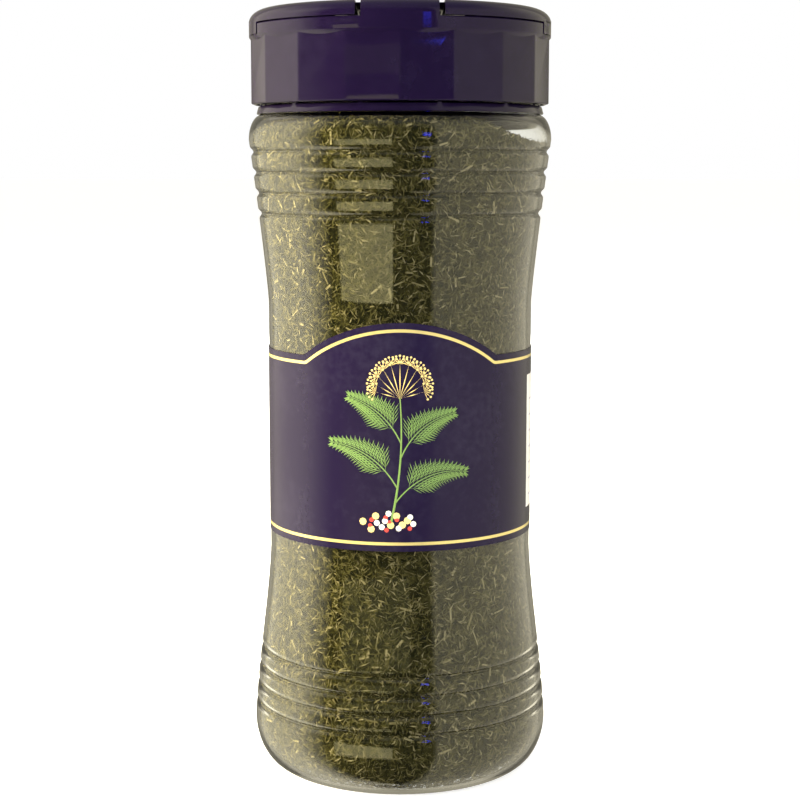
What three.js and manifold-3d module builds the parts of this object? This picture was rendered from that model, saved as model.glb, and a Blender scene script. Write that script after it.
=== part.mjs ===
// A clear catering jar of dried dill: a waisted jar, its filling, a wrap-around label, a tamper
// band, a sealing ring and a screw cap with two flip lids.
// Millimetres, +Z up, origin at the centre of the base, the label's front facing -Y.
import * as THREE from 'three';
import { mergeVertices } from 'three/addons/utils/BufferGeometryUtils.js';
import Module from 'manifold-3d';

const wasm = await Module();
wasm.setup();

// Driving dimensions of the jar
const JAR_SIDES = 28; // sides of every round section of the jar
const WALL = 0.9; // blown wall
const FOOT_R = 37; // outer edge of the standing ring
const PUSH_UP = 3; // height of the domed base above the standing ring
const BASE_R = 46.3; // bumper above the heel
const HEEL_Z = 15; // top of the rounded heel
const WAIST_R = 41; // label panel
const PANEL = [70, 147]; // lower and upper end of the label panel
const SHOULDER_R = 46.7; // upper bumper
const SHOULDER_Z = 197; // widest height of the shoulder
const FLARE_POWER = 1.15; // how late the upper flare opens
const GROOVE = { depth: 0.9, half: 1.6, count: 4 };
const UPPER_GROOVE = { z: 193.3, pitch: -6.27 };
const LOWER_GROOVE = { z: 37.7, pitch: -5.75 };
const NECK = { foot: 204.5, lip: 226, outer: 42.6, bore: 41 };
const NECK_BEAD = { z: 207.9, r: 43.3, half: 0.5 };

// Thread shared by the neck and the cap: right-hand, one turn to open
const THREAD_PITCH = 5.08;
const THREAD = { turns: 1.1, steps: 34 };
const NECK_THREAD = { z: 212.5, inner: 42.2, outer: 43.9, innerHalf: 1, outerHalf: 0.45 };
const CAP_THREAD = { z: 209.96, inner: 43.1, outer: 44.7, innerHalf: 0.45, outerHalf: 1 };

// Driving dimensions of the cap and its lids
const FACETS = 18; // flats round the cap's skirt, one corner at the front
const SKIRT = { low: 207.5, corner: 46, bore: 44.3 };
const RIM = { low: 226.2, full: 227.8, top: 231.2, r: 46.3, bore: 44.7 };
const DECK = { low: 227.8, top: 229.4 };
const LID = { low: 231.5, top: 236.1, plate: 1.4, wall: 1.4 };
const LID_EDGE = { radial: 5.6, drop: 4.1 }; // rounded upper edge of the cap
const BAR_HALF = 11.2; // fixed bar between the lids
const LID_FROM = 12.8; // straight edge of each lid, across the living hinge
const BAR_SHELL = 1.5;
const THUMB = { half: 22, low: 228.1, recess: 23.5, inner: 45.2, ledge: 44.9 };
const POUR = { from: 18, r: 38.5 }; // D-shaped pouring opening
const SIFT = { r: 2, sides: 8, x: [-23, -28, -33], count: [7, 6, 3], apart: 7 }; // rows of sifter holes
const RIDGE = { play: 0.7, wall: 1.2, inOpening: 229, onDeck: 229.7 }; // sealing ridge under each lid
const ROUND = 40; // sides of the cap's round sections

// Small rings and the label
const SEAL = { low: 226.35, top: 227.4, inner: 41, outer: 43 };
const BAND = { low: 204.6, top: 206.9, foot: 44.2, head: 43.7, inner: 43.2 };
const BRIDGES = { count: 12, high: 0.3, long: 1.2, wide: 0.6 };
const LABEL = { low: 75.8, top: 133.2, inner: 41.2, thick: 0.3, wrap: 350, columns: 76 };
const ARCH = { half: 44, rise: 10.5 }; // raised front of the label, in degrees and mm

// The filling: loose needles over a packed core
const DILL_BACK = 4.5; // from the jar's outside to the core, with the grooves and the loose needles between
const DILL_BASE = 6; // height of the core over the standing ring
const DILL_SIDES = 22;
const DILL_TOP = { z: 207, sag: 11, from: 8, to: 44, cells: 6 }; // heap that falls away to the right
const NEEDLES = { side: 400, top: 64, base: 14, seed: 20 };
const NEEDLE = { long: [6, 10], half: 1, sunk: 1.2, tip: [0.7, 1.4] };

const COLOUR = { clear: 0xe9e7d6, dill: 0x5d5a35, label: 0x1b1440, navy: 0x1d1638, foam: 0xe8e6df };
const DEGREE = Math.PI / 180;

const point = (r, z) => new THREE.Vector2(r, z);
const smooth = (u) => u * u * (3 - 2 * u);
const repeat = (count, make) => Array.from({ length: count }, (_, i) => make(i));

// Points of an elliptical arc about (r, z), from one angle to another in degrees
function arc(r, z, across, up, from, to, steps) {
  return repeat(steps + 1, (i) => {
    const a = (from + ((to - from) * i) / steps) * DEGREE;
    return point(r + across * Math.cos(a), z + up * Math.sin(a));
  });
}

// Geometry and solids
function solidOf(geometry) {
  const bare = geometry.index ? geometry.toNonIndexed() : geometry.clone();
  bare.deleteAttribute('normal');
  bare.deleteAttribute('uv');
  const merged = mergeVertices(bare, 1e-4);
  return new wasm.Manifold(new wasm.Mesh({
    numProp: 3,
    vertProperties: merged.attributes.position.array,
    triVerts: new Uint32Array(merged.index.array),
  }));
}

function geometryOf(solid) {
  const mesh = solid.getMesh();
  const geometry = new THREE.BufferGeometry();
  geometry.setAttribute('position', new THREE.BufferAttribute(mesh.vertProperties, 3));
  geometry.setIndex(new THREE.BufferAttribute(mesh.triVerts, 1));
  geometry.computeVertexNormals();
  return geometry;
}

// A closed outline of radii and heights turned about +Z, listed up the outside and down the inside
function turned(outline, sides) {
  const closed = [...outline];
  if (outline[0].x > 0) closed.push(outline[0].clone());
  return new THREE.LatheGeometry(closed, sides).rotateX(Math.PI / 2);
}

function ring(inner, outer, low, top, sides) {
  return turned([point(inner, low), point(outer, low), point(outer, top), point(inner, top)], sides);
}

function disc(r, low, top, sides) {
  return turned([point(0, low), point(r, low), point(r, top), point(0, top)], sides);
}

function block(x, y, z) {
  const box = new THREE.BoxGeometry(x[1] - x[0], y[1] - y[0], z[1] - z[0]);
  return box.translate((x[0] + x[1]) / 2, (y[0] + y[1]) / 2, (z[0] + z[1]) / 2);
}

function upright(shape, low, top) {
  const options = { depth: top - low, bevelEnabled: false, curveSegments: 10 };
  return new THREE.ExtrudeGeometry(shape, options).translate(0, 0, low);
}

// A sector of a ring about the direction +X or -X
function sector(inner, outer, low, top, half, side) {
  const shape = new THREE.Shape();
  const middle = side > 0 ? 0 : Math.PI;
  shape.absarc(0, 0, outer, middle - half * DEGREE, middle + half * DEGREE, false);
  shape.absarc(0, 0, inner, middle + half * DEGREE, middle - half * DEGREE, true);
  shape.closePath();
  return upright(shape, low, top);
}

// Four-cornered sections joined one to the next, each listed as seen along the way, with closed ends
function swept(sections) {
  const corners = 4;
  const faces = [];
  for (let i = 0; i < sections.length - 1; i += 1) {
    for (let k = 0; k < corners; k += 1) {
      const a = i * corners + k;
      const b = i * corners + ((k + 1) % corners);
      faces.push(a, a + corners, b, b, a + corners, b + corners);
    }
  }
  const last = (sections.length - 1) * corners;
  faces.push(0, 1, 2, 0, 2, 3, last, last + 2, last + 1, last, last + 3, last + 2);
  return new THREE.BufferGeometry().setFromPoints(sections.flat()).setIndex(faces);
}

const round = (r, angle, z) => new THREE.Vector3(r * Math.cos(angle), r * Math.sin(angle), z);

// A ridge that climbs round the axis: a trapezium with its wide side on the wall
function helix({ z, inner, outer, innerHalf, outerHalf }) {
  return swept(repeat(THREAD.steps + 1, (i) => {
    const turn = (THREAD.turns * i) / THREAD.steps;
    const a = turn * 2 * Math.PI;
    const middle = z + THREAD_PITCH * turn;
    return [
      round(inner, a, middle - innerHalf), round(outer, a, middle - outerHalf),
      round(outer, a, middle + outerHalf), round(inner, a, middle + innerHalf),
    ];
  }));
}

// Jar
function plainRadius(z) {
  if (z < PANEL[0]) {
    const u = (PANEL[0] - z) / (PANEL[0] - HEEL_Z);
    return WAIST_R + ((BASE_R - WAIST_R) * (u + smooth(u))) / 2;
  }
  if (z <= PANEL[1]) return WAIST_R;
  return WAIST_R + (SHOULDER_R - WAIST_R) * ((z - PANEL[1]) / (SHOULDER_Z - PANEL[1])) ** FLARE_POWER;
}

const grooveHeights = (set) => repeat(GROOVE.count, (i) => set.z + set.pitch * i);
const LOWER_GROOVES = grooveHeights(LOWER_GROOVE).reverse();
const UPPER_GROOVES = grooveHeights(UPPER_GROOVE).reverse();

const onWall = (inset) => (z) => point(plainRadius(z) - inset, z);
const groovePoint = (z, inset) => point(plainRadius(z) - GROOVE.depth - inset, z);

function groovedOutside(heights) {
  return heights.flatMap((z) => [
    onWall(0)(z - GROOVE.half), groovePoint(z, 0), onWall(0)(z + GROOVE.half),
  ]);
}

function groovedInside(heights, set, inset) {
  return heights.flatMap((z) => [onWall(inset)(z + set.pitch / 2), groovePoint(z, inset)]);
}

function jarOutside() {
  return [
    point(0, PUSH_UP), point(18, PUSH_UP * 0.85), point(29, PUSH_UP * 0.4), point(34, 0),
    ...arc(FOOT_R, HEEL_Z, BASE_R - FOOT_R, HEEL_Z, -90, 0, 4),
    ...groovedOutside(LOWER_GROOVES),
    ...[47, 56, 63, ...PANEL, 155, 163].map(onWall(0)),
    ...groovedOutside(UPPER_GROOVES),
    ...arc(NECK.outer, SHOULDER_Z, SHOULDER_R - NECK.outer, NECK.foot - SHOULDER_Z, 0, 90, 3),
  ];
}

// Inner surface of the wall from the base's centre up to the mouth's foot
function jarInside(inset) {
  const floor = WALL + inset;
  const shoulder = NECK.foot - SHOULDER_Z - floor;
  const throat = NECK.bore - (inset - WALL);
  return [
    point(0, PUSH_UP + floor), point(25, PUSH_UP * 0.55 + floor),
    ...arc(FOOT_R - 1, HEEL_Z, BASE_R - FOOT_R + 1 - inset, HEEL_Z - floor, -90, 0, 3),
    ...groovedInside(LOWER_GROOVES, LOWER_GROOVE, inset),
    ...[41, 56, ...PANEL, 158].map(onWall(inset)),
    ...groovedInside(UPPER_GROOVES, UPPER_GROOVE, inset),
    ...arc(throat, SHOULDER_Z, SHOULDER_R - throat - inset, shoulder, 0, 90, 3),
  ];
}

function jar() {
  const { z, r, half } = NECK_BEAD;
  const neck = [
    point(NECK.outer, z - 2 * half), point(r, z - half), point(r, z + half), point(NECK.outer, z + 2 * half),
    point(NECK.outer, NECK.lip), point(NECK.bore, NECK.lip),
  ];
  const shell = turned([...jarOutside(), ...neck, ...jarInside(WALL).reverse()], JAR_SIDES);
  return geometryOf(solidOf(shell).add(solidOf(helix(NECK_THREAD))));
}

// Filling: cut needles of dill that lie against the wall, rooted in a packed core
function seeded(seed) {
  let state = seed;
  return (low, high) => {
    state = (state + 0x6d2b79f5) | 0;
    let t = Math.imul(state ^ (state >>> 15), 1 | state);
    t = (t + Math.imul(t ^ (t >>> 7), 61 | t)) ^ t;
    return low + ((high - low) * ((t ^ (t >>> 14)) >>> 0)) / 4294967296;
  };
}

function heapHeight(x) {
  const u = THREE.MathUtils.clamp((x - DILL_TOP.from) / (DILL_TOP.to - DILL_TOP.from), 0, 1);
  return DILL_TOP.z - DILL_TOP.sag * smooth(u);
}

// Everything below the heap's sloping top
function underHeap() {
  const width = 2 * SHOULDER_R + 2;
  const box = new THREE.BoxGeometry(width, width, DILL_TOP.z, DILL_TOP.cells, 1, 1);
  const corner = box.translate(0, 0, DILL_TOP.z / 2).attributes.position;
  for (let i = 0; i < corner.count; i += 1) {
    if (corner.getZ(i) > 0) corner.setZ(i, heapHeight(corner.getX(i)));
  }
  return solidOf(box);
}

const baseHeight = (r) => DILL_BASE + PUSH_UP * (1 - r / (FOOT_R - DILL_BACK));

function dillCore() {
  const throat = NECK.bore - DILL_BACK + WALL;
  const reach = SHOULDER_R - DILL_BACK - throat;
  const outline = [
    point(0, baseHeight(0)), point(FOOT_R - DILL_BACK, DILL_BASE),
    ...[HEEL_Z, 30, 46, ...PANEL, 165, 182].map(onWall(DILL_BACK)),
    ...arc(throat, SHOULDER_Z, reach, NECK.foot - SHOULDER_Z - DILL_BACK, 0, 90, 2),
    point(throat, NECK.lip), point(0, NECK.lip),
  ];
  return solidOf(turned(outline, DILL_SIDES)).intersect(underHeap());
}

// A three-sided pointed needle: its root sunk under the surface at a place, its tip lifted along the normal
function needle(random, place, normal) {
  const long = random(...NEEDLE.long);
  const lift = Math.asin((random(...NEEDLE.tip) + NEEDLE.sunk) / long);
  const across = normal.z === 0 ? new THREE.Vector3(0, 0, 1) : new THREE.Vector3(1, 0, 0);
  const along = across.applyAxisAngle(normal, random(0, 2 * Math.PI)).multiplyScalar(Math.cos(lift));
  const direction = along.addScaledVector(normal, Math.sin(lift));
  const turn = new THREE.Quaternion().setFromUnitVectors(new THREE.Vector3(0, 1, 0), direction);
  const root = place.clone().addScaledVector(normal, -NEEDLE.sunk);
  const cone = new THREE.ConeGeometry(NEEDLE.half, long, 3).translate(0, long / 2, 0);
  return solidOf(cone.applyQuaternion(turn).translate(root.x, root.y, root.z));
}

// Even places over the wall, the heap and the base, each with the outward normal there
function needlePlaces() {
  const golden = Math.PI * (3 - Math.sqrt(5));
  const up = new THREE.Vector3(0, 0, 1);
  const down = new THREE.Vector3(0, 0, -1);
  const top = heapHeight(SHOULDER_R);
  const side = repeat(NEEDLES.side, (i) => {
    const z = HEEL_Z + ((top - HEEL_Z) * (i + 0.5)) / NEEDLES.side;
    const normal = round(1, golden * i, 0);
    return [round(plainRadius(z) - DILL_BACK, golden * i, z), normal];
  });
  const flat = (count, reach, height, normal) => repeat(count, (i) => {
    const place = round(reach * Math.sqrt((i + 0.5) / count), golden * i, 0);
    return [place.setZ(height(place)), normal];
  });
  const heap = flat(NEEDLES.top, NECK.bore - 11, (place) => heapHeight(place.x), up);
  const base = flat(NEEDLES.base, FOOT_R - 10, (place) => baseHeight(place.length()), down);
  return [...side, ...heap, ...base];
}

function dill() {
  const random = seeded(NEEDLES.seed);
  const needles = needlePlaces().map(([place, normal]) => needle(random, place, normal));
  return geometryOf(wasm.Manifold.union([dillCore(), ...needles]));
}

// Label: a thin sheet round the panel, open at the back, with an arched front
function labelTop(angle) {
  return LABEL.top + ARCH.rise * Math.max(0, 1 - (angle / ARCH.half) ** 2);
}

function label() {
  const outer = LABEL.inner + LABEL.thick;
  return swept(repeat(LABEL.columns + 1, (i) => {
    const angle = LABEL.wrap * (i / LABEL.columns - 0.5);
    const a = (angle - 90) * DEGREE;
    return [
      round(LABEL.inner, a, LABEL.low), round(outer, a, LABEL.low),
      round(outer, a, labelTop(angle)), round(LABEL.inner, a, labelTop(angle)),
    ];
  }));
}

// Tamper band under the skirt, with the stubs of its bridges
function tamperBand() {
  const outline = [
    point(BAND.inner, BAND.low), point(BAND.foot, BAND.low),
    point(BAND.head, BAND.top), point(BAND.inner, BAND.top),
  ];
  const stubs = repeat(BRIDGES.count, (i) => {
    const stub = block([BAND.inner, BAND.inner + BRIDGES.wide], [-BRIDGES.long / 2, BRIDGES.long / 2],
      [BAND.top - 0.5, BAND.top + BRIDGES.high]);
    return solidOf(stub.rotateZ((2 * Math.PI * (i + 0.5)) / BRIDGES.count));
  });
  return geometryOf(wasm.Manifold.union([solidOf(turned(outline, ROUND)), ...stubs]));
}

const sealRing = () => ring(SEAL.inner, SEAL.outer, SEAL.low, SEAL.top, ROUND);

// Half-outline of the cap's rounded top, from its rim up to its middle
function topEdge(low, r) {
  const { radial, drop } = LID_EDGE;
  return [point(r, low), ...arc(r - radial, LID.top - drop, radial, drop, 0, 90, 6)];
}

function topDome(low, r, lowered) {
  const outline = topEdge(low, r).map((p) => point(p.x, Math.max(low, p.y - lowered)));
  return solidOf(turned([point(0, low), ...outline, point(0, LID.top - lowered)], ROUND));
}

// D-shaped outline on the right: a circle cut off by a straight edge
function pourShape(inset) {
  const r = POUR.r - inset;
  const edge = Math.acos((POUR.from + inset) / r);
  const shape = new THREE.Shape();
  shape.absarc(0, 0, r, -edge, edge, false);
  shape.closePath();
  return shape;
}

function siftHoles() {
  const holes = SIFT.x.flatMap((x, row) => repeat(SIFT.count[row], (i) => {
    const y = SIFT.apart * (i - (SIFT.count[row] - 1) / 2);
    return solidOf(disc(SIFT.r, DECK.low - 1, DECK.top + 1, SIFT.sides).translate(x, y, 0));
  }));
  return wasm.Manifold.union(holes);
}

function cap() {
  const skirt = disc(SKIRT.corner, SKIRT.low, RIM.full, FACETS).rotateZ(-Math.PI / 2);
  const rim = turned([
    point(0, RIM.low), point(SKIRT.corner - 0.9, RIM.low), point(RIM.r, RIM.full),
    point(RIM.r, RIM.top), point(0, RIM.top),
  ], ROUND);
  const inBar = solidOf(block([-BAR_HALF, BAR_HALF], [-60, 60], [DECK.low, LID.top + 1]));
  const bar = topDome(DECK.low, RIM.r, 0).intersect(inBar);
  const reach = BAR_HALF - BAR_SHELL;
  const inHollow = solidOf(block([-reach, reach], [-60, 60], [DECK.low - 1, LID.top]));
  const hollow = topDome(DECK.low - 1, RIM.r - BAR_SHELL, BAR_SHELL).intersect(inHollow);
  const recess = wasm.Manifold.union([
    solidOf(disc(RIM.bore, DECK.top, LID.top + 1, ROUND)),
    ...[1, -1].map((side) => solidOf(
      sector(THUMB.ledge, RIM.r + 2, DECK.low, LID.top, THUMB.recess, side))),
  ]);
  return geometryOf(solidOf(skirt)
    .add(solidOf(rim))
    .subtract(recess)
    .subtract(solidOf(disc(SKIRT.bore, SKIRT.low - 1, DECK.low, ROUND)))
    .add(bar)
    .subtract(hollow)
    .subtract(solidOf(upright(pourShape(0), DECK.low - 1, DECK.top + 1)))
    .subtract(siftHoles())
    .add(solidOf(helix(CAP_THREAD))));
}

// Flip lid on the right, with its thumb lip and a sealing ridge that reaches down to the given height
function lid(ridgeLow) {
  const half = solidOf(block([LID_FROM, 60], [-60, 60], [LID.low - 1, LID.top + 1]));
  const shell = topDome(LID.low, RIM.r, 0).subtract(topDome(LID.low - 1, RIM.r - LID.wall, LID.plate));
  const thumb = solidOf(sector(THUMB.inner, RIM.r, THUMB.low, LID.low + 1, THUMB.half, 1));
  const under = LID.top - LID.plate;
  const ridge = solidOf(upright(pourShape(RIDGE.play), ridgeLow, under + 0.5));
  const inside = solidOf(upright(pourShape(RIDGE.play + RIDGE.wall), ridgeLow - 1, under + 1));
  return geometryOf(wasm.Manifold.union([shell.intersect(half), thumb, ridge.subtract(inside)]));
}

// Assembly
function piece(name, geometry, colour, roughness, opacity = 1) {
  const material = new THREE.MeshStandardMaterial({ color: colour, roughness, metalness: 0 });
  material.transparent = opacity < 1;
  material.opacity = opacity;
  const mesh = new THREE.Mesh(geometry, material);
  mesh.name = name;
  return mesh;
}

const jarOfDill = new THREE.Group();
jarOfDill.add(
  piece('jar', jar(), COLOUR.clear, 0.08, 0.3),
  piece('dill', dill(), COLOUR.dill, 0.9),
  piece('label', label(), COLOUR.label, 0.35),
  piece('tamper_band', tamperBand(), COLOUR.navy, 0.3),
  piece('seal_ring', sealRing(), COLOUR.foam, 0.8),
  piece('cap', cap(), COLOUR.navy, 0.25),
  piece('pour_lid', lid(RIDGE.inOpening), COLOUR.navy, 0.25),
  piece('sift_lid', lid(RIDGE.onDeck).rotateZ(Math.PI), COLOUR.navy, 0.25),
);

export default jarOfDill;
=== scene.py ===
import math

import bpy
import numpy as np
from mathutils import Matrix, Vector


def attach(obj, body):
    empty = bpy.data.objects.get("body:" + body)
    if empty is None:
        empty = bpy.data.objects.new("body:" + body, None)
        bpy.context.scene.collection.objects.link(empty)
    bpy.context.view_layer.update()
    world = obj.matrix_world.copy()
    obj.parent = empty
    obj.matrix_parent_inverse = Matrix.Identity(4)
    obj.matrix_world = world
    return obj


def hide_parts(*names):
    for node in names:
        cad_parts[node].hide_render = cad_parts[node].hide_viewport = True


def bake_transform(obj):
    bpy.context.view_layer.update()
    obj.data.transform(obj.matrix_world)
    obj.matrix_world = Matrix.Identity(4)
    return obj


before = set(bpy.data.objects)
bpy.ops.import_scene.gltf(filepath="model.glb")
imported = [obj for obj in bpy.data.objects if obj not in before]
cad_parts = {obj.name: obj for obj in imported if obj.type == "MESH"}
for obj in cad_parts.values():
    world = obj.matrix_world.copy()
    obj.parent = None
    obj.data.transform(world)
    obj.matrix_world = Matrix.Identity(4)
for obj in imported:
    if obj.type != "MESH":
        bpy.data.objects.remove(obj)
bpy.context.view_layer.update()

MM = 0.001
JAR_MIDDLE = (0, 0, 0.12)

# Jar, in millimetres
WALL = 0.9
BASE_WALL = 1.0
FOOT_R = 37
PUSH_UP = 3
PUSH_UP_R = 34
DOME_POINTS = 9
BASE_R = 46.3
HEEL_Z = 15
WAIST_R = 41
PANEL = (70, 147)
SHOULDER_R = 46.7
SHOULDER_Z = 197
FLARE_POWER = 1.15
GROOVE_DEPTH = 0.9
GROOVE_HALF = 1.6
UPPER_GROOVES = [193.3 - 6.27 * i for i in range(4)]
LOWER_GROOVES = [37.7 - 5.75 * i for i in range(4)]
NECK_FOOT, NECK_LIP, NECK_R, NECK_BORE = 204.5, 226, 42.6, 41
BEAD_Z, BEAD_R, BEAD_HALF = 207.9, 43.3, 0.5
JAR_STEPS = 160
THREAD_PITCH = 5.08
THREAD_TURNS = 1.1

# Cap and lids, in millimetres
FACETS = 18
SKIRT_LOW, SKIRT_CORNER, SKIRT_BORE = 207.5, 46, 44.3
RIM_LOW, RIM_FULL, RIM_TOP, RIM_R, RIM_BORE = 226.2, 227.8, 231.2, 46.3, 44.7
DECK_LOW, DECK_TOP = 227.8, 229.4
LID_LOW, LID_TOP, LID_PLATE, LID_WALL = 231.5, 236.1, 1.4, 1.4
EDGE_RADIAL, EDGE_DROP = 5.6, 4.1
BAR_HALF, BAR_SHELL, LID_FROM = 11.2, 1.5, 12.8
THUMB_HALF, THUMB_LOW, THUMB_INNER = 22, 228.1, 45.2
THUMB_RECESS, THUMB_LEDGE = 23.5, 44.9
POUR_FROM, POUR_R = 18, 38.5
SIFT_ROWS = [(-23, 7), (-28, 6), (-33, 3)]
SIFT_R, SIFT_APART = 2, 7
RIDGE_PLAY, RIDGE_WALL = 0.7, 1.2
RIDGE_IN_OPENING, RIDGE_ON_DECK = 229, 229.7
LID_PANEL_INSET, LID_PANEL_DEEP = -1.5, 0.4
CAP_STEPS = 144

# Small rings and the label, in millimetres
SEAL = (41, 43, 226.35, 227.4)
BAND_LOW, BAND_TOP, BAND_FOOT, BAND_HEAD, BAND_INNER = 204.6, 206.9, 44.2, 43.7, 43.2
BRIDGES = 12
LABEL_LOW, LABEL_TOP, LABEL_R, LABEL_THICK, LABEL_WRAP = 75.8, 133.2, 41.22, 0.18, 350
ARCH_HALF, ARCH_RISE = 44, 10.5
KEYLINE = (1.9, 2.75)
PANEL_ACROSS, PANEL_INSET = (51.5, 80), 8

# Filling
HEAP_Z, HEAP_SAG, HEAP_FROM, HEAP_TO = 207, 11, 8, 44
SEED = 41
DILL_SECTORS = 6


def smooth(u):
    return u * u * (3 - 2 * u)


def arc(r, z, across, up, first, last, steps):
    """Points of an elliptical arc about (r, z), between two angles in degrees."""
    angles = np.radians(np.linspace(first, last, steps + 1))
    return [(r + across * math.cos(a), z + up * math.sin(a)) for a in angles]


# Outlines of the jar as (radius, height) in millimetres
def plain_radius(z):
    if z < PANEL[0]:
        u = (PANEL[0] - z) / (PANEL[0] - HEEL_Z)
        return WAIST_R + (BASE_R - WAIST_R) * (u + smooth(u)) / 2
    if z <= PANEL[1]:
        return WAIST_R
    u = (z - PANEL[1]) / (SHOULDER_Z - PANEL[1])
    return WAIST_R + (SHOULDER_R - WAIST_R) * u ** FLARE_POWER


def wall_radius(z):
    nearest = min(abs(z - g) for g in UPPER_GROOVES + LOWER_GROOVES)
    dip = math.cos(math.pi / 2 * min(nearest / GROOVE_HALF, 1)) ** 2
    return plain_radius(z) - GROOVE_DEPTH * dip


def wall_heights(fine):
    low = np.arange(LOWER_GROOVES[-1] - 3, LOWER_GROOVES[0] + 2.4, fine)
    high = np.arange(UPPER_GROOVES[-1] - 2.4, SHOULDER_Z - 0.2, fine)
    flare_low = np.linspace(LOWER_GROOVES[0] + 4, PANEL[0], 9)
    flare_high = np.linspace(PANEL[1], UPPER_GROOVES[-1] - 4, 8)
    return np.concatenate([low, flare_low, [90, 110, 130], flare_high, high])


def jar_outside():
    dome = [(r, PUSH_UP * (1 - (r / PUSH_UP_R) ** 2.2)) for r in np.linspace(0, PUSH_UP_R, 12)]
    return (
        dome
        + arc(FOOT_R, HEEL_Z, BASE_R - FOOT_R, HEEL_Z, -90, 0, 18)
        + [(wall_radius(z), z) for z in wall_heights(0.42)]
        + arc(NECK_R, SHOULDER_Z, SHOULDER_R - NECK_R, NECK_FOOT - SHOULDER_Z, 0, 90, 12)
    )


def jar_inside(gap=0.0):
    floor = BASE_WALL + gap
    throat = NECK_BORE - gap
    side = SHOULDER_R - WALL - gap
    rings = np.linspace(0, PUSH_UP_R, DOME_POINTS)
    dome = [(r, PUSH_UP * (1 - (r / PUSH_UP_R) ** 2.2) + floor) for r in rings]
    heel = BASE_R - FOOT_R + 1 - WALL - gap
    return (
        dome
        + arc(FOOT_R - 1, HEEL_Z, heel, HEEL_Z - floor, -90, 0, 12)
        + [(wall_radius(z) - WALL - gap, z) for z in wall_heights(0.6)]
        + arc(throat, SHOULDER_Z, side - throat, NECK_FOOT - SHOULDER_Z - WALL - gap, 0, 90, 8)
    )


def neck_outline():
    r, z, half = BEAD_R, BEAD_Z, BEAD_HALF
    bead = [(NECK_R, z - 2 * half)] + arc(r - half, z, half, half, -90, 90, 6) + [(NECK_R, z + 2 * half)]
    lip_r = (NECK_R - NECK_BORE) / 2
    return bead + arc(NECK_BORE + lip_r, NECK_LIP - lip_r, lip_r, lip_r, 0, 180, 8)


# Modelling steps
def draw_chain(name, points):
    """A chain of edges drawn corner by corner in the XZ plane, left in edit mode."""
    bpy.ops.object.select_all(action="DESELECT")
    bpy.ops.mesh.primitive_plane_add(size=10 * MM)
    piece = bpy.context.object
    piece.name = piece.data.name = name
    bpy.ops.object.mode_set(mode="EDIT")
    bpy.ops.mesh.merge(type="CENTER")
    at = (0.0, 0.0)
    for index, (r, z) in enumerate(points):
        step = ((r - at[0]) * MM, 0, (z - at[1]) * MM)
        if index:
            bpy.ops.mesh.extrude_region_move(TRANSFORM_OT_translate={"value": step})
        else:
            bpy.ops.transform.translate(value=step)
        at = (r, z)
    return piece


def close_up():
    """In edit mode: joins doubles, fills what is open and turns every face outwards."""
    bpy.ops.mesh.select_all(action="SELECT")
    bpy.ops.mesh.remove_doubles(threshold=0.001 * MM)
    bpy.ops.mesh.fill_holes(sides=0)
    bpy.ops.mesh.select_all(action="SELECT")
    bpy.ops.mesh.normals_make_consistent(inside=False)
    bpy.ops.object.mode_set(mode="OBJECT")


def turned(name, outline, steps=CAP_STEPS):
    """An outline of (radius, height) spun about +Z: from axis to axis, or closed on itself."""
    points = list(outline)
    if points[0][0] > 0:
        points.append(points[0])
    piece = draw_chain(name, points)
    bpy.ops.mesh.select_all(action="SELECT")
    bpy.ops.mesh.spin(steps=steps, angle=2 * math.pi, center=(0, 0, 0), axis=(0, 0, 1))
    close_up()
    return piece


def block(x, y, z):
    bpy.ops.object.select_all(action="DESELECT")
    size = [(pair[1] - pair[0]) * MM for pair in (x, y, z)]
    middle = [(pair[0] + pair[1]) / 2 * MM for pair in (x, y, z)]
    bpy.ops.mesh.primitive_cube_add(size=1, location=middle, scale=size)
    bpy.ops.object.transform_apply(location=True, rotation=True, scale=True)
    return bpy.context.object


def disc(r, low, top, sides=CAP_STEPS, at=(0, 0)):
    bpy.ops.object.select_all(action="DESELECT")
    middle = (at[0] * MM, at[1] * MM, (low + top) / 2 * MM)
    bpy.ops.mesh.primitive_cylinder_add(vertices=sides, radius=r * MM, depth=(top - low) * MM,
                                        location=middle)
    bpy.ops.object.transform_apply(location=True, rotation=True, scale=True)
    return bpy.context.object


def combine(piece, tool, operation):
    """A boolean with a tool solid, which is used up."""
    bpy.ops.object.select_all(action="DESELECT")
    modifier = piece.modifiers.new("combine", "BOOLEAN")
    modifier.operation = operation
    modifier.solver = "EXACT"
    modifier.object = tool
    bpy.context.view_layer.objects.active = piece
    bpy.ops.object.modifier_apply(modifier="combine")
    bpy.data.objects.remove(tool)
    return piece


def trim(piece, at, normal):
    """Cuts off what lies on the normal's side of a plane and fills the cut."""
    bpy.ops.object.select_all(action="DESELECT")
    bpy.context.view_layer.objects.active = piece
    piece.select_set(True)
    bpy.ops.object.mode_set(mode="EDIT")
    bpy.ops.mesh.select_all(action="SELECT")
    place = [value * MM for value in at]
    bpy.ops.mesh.bisect(plane_co=place, plane_no=normal, use_fill=True, clear_outer=True)
    bpy.ops.object.mode_set(mode="OBJECT")
    return piece


def soften(piece, width, segments=2, angle=40):
    """Rounds the sharp edges and shades the rest smooth."""
    bpy.ops.object.select_all(action="DESELECT")
    bpy.context.view_layer.objects.active = piece
    piece.select_set(True)
    modifier = piece.modifiers.new("soften", "BEVEL")
    modifier.width = width * MM
    modifier.segments = segments
    modifier.limit_method = "ANGLE"
    modifier.angle_limit = math.radians(angle)
    bpy.ops.object.modifier_apply(modifier="soften")
    bpy.ops.object.shade_smooth_by_angle(angle=math.radians(35))
    return piece


def shade_smooth(piece, angle=35):
    bpy.ops.object.select_all(action="DESELECT")
    bpy.context.view_layer.objects.active = piece
    piece.select_set(True)
    bpy.ops.object.shade_smooth_by_angle(angle=math.radians(angle))
    return piece


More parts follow.
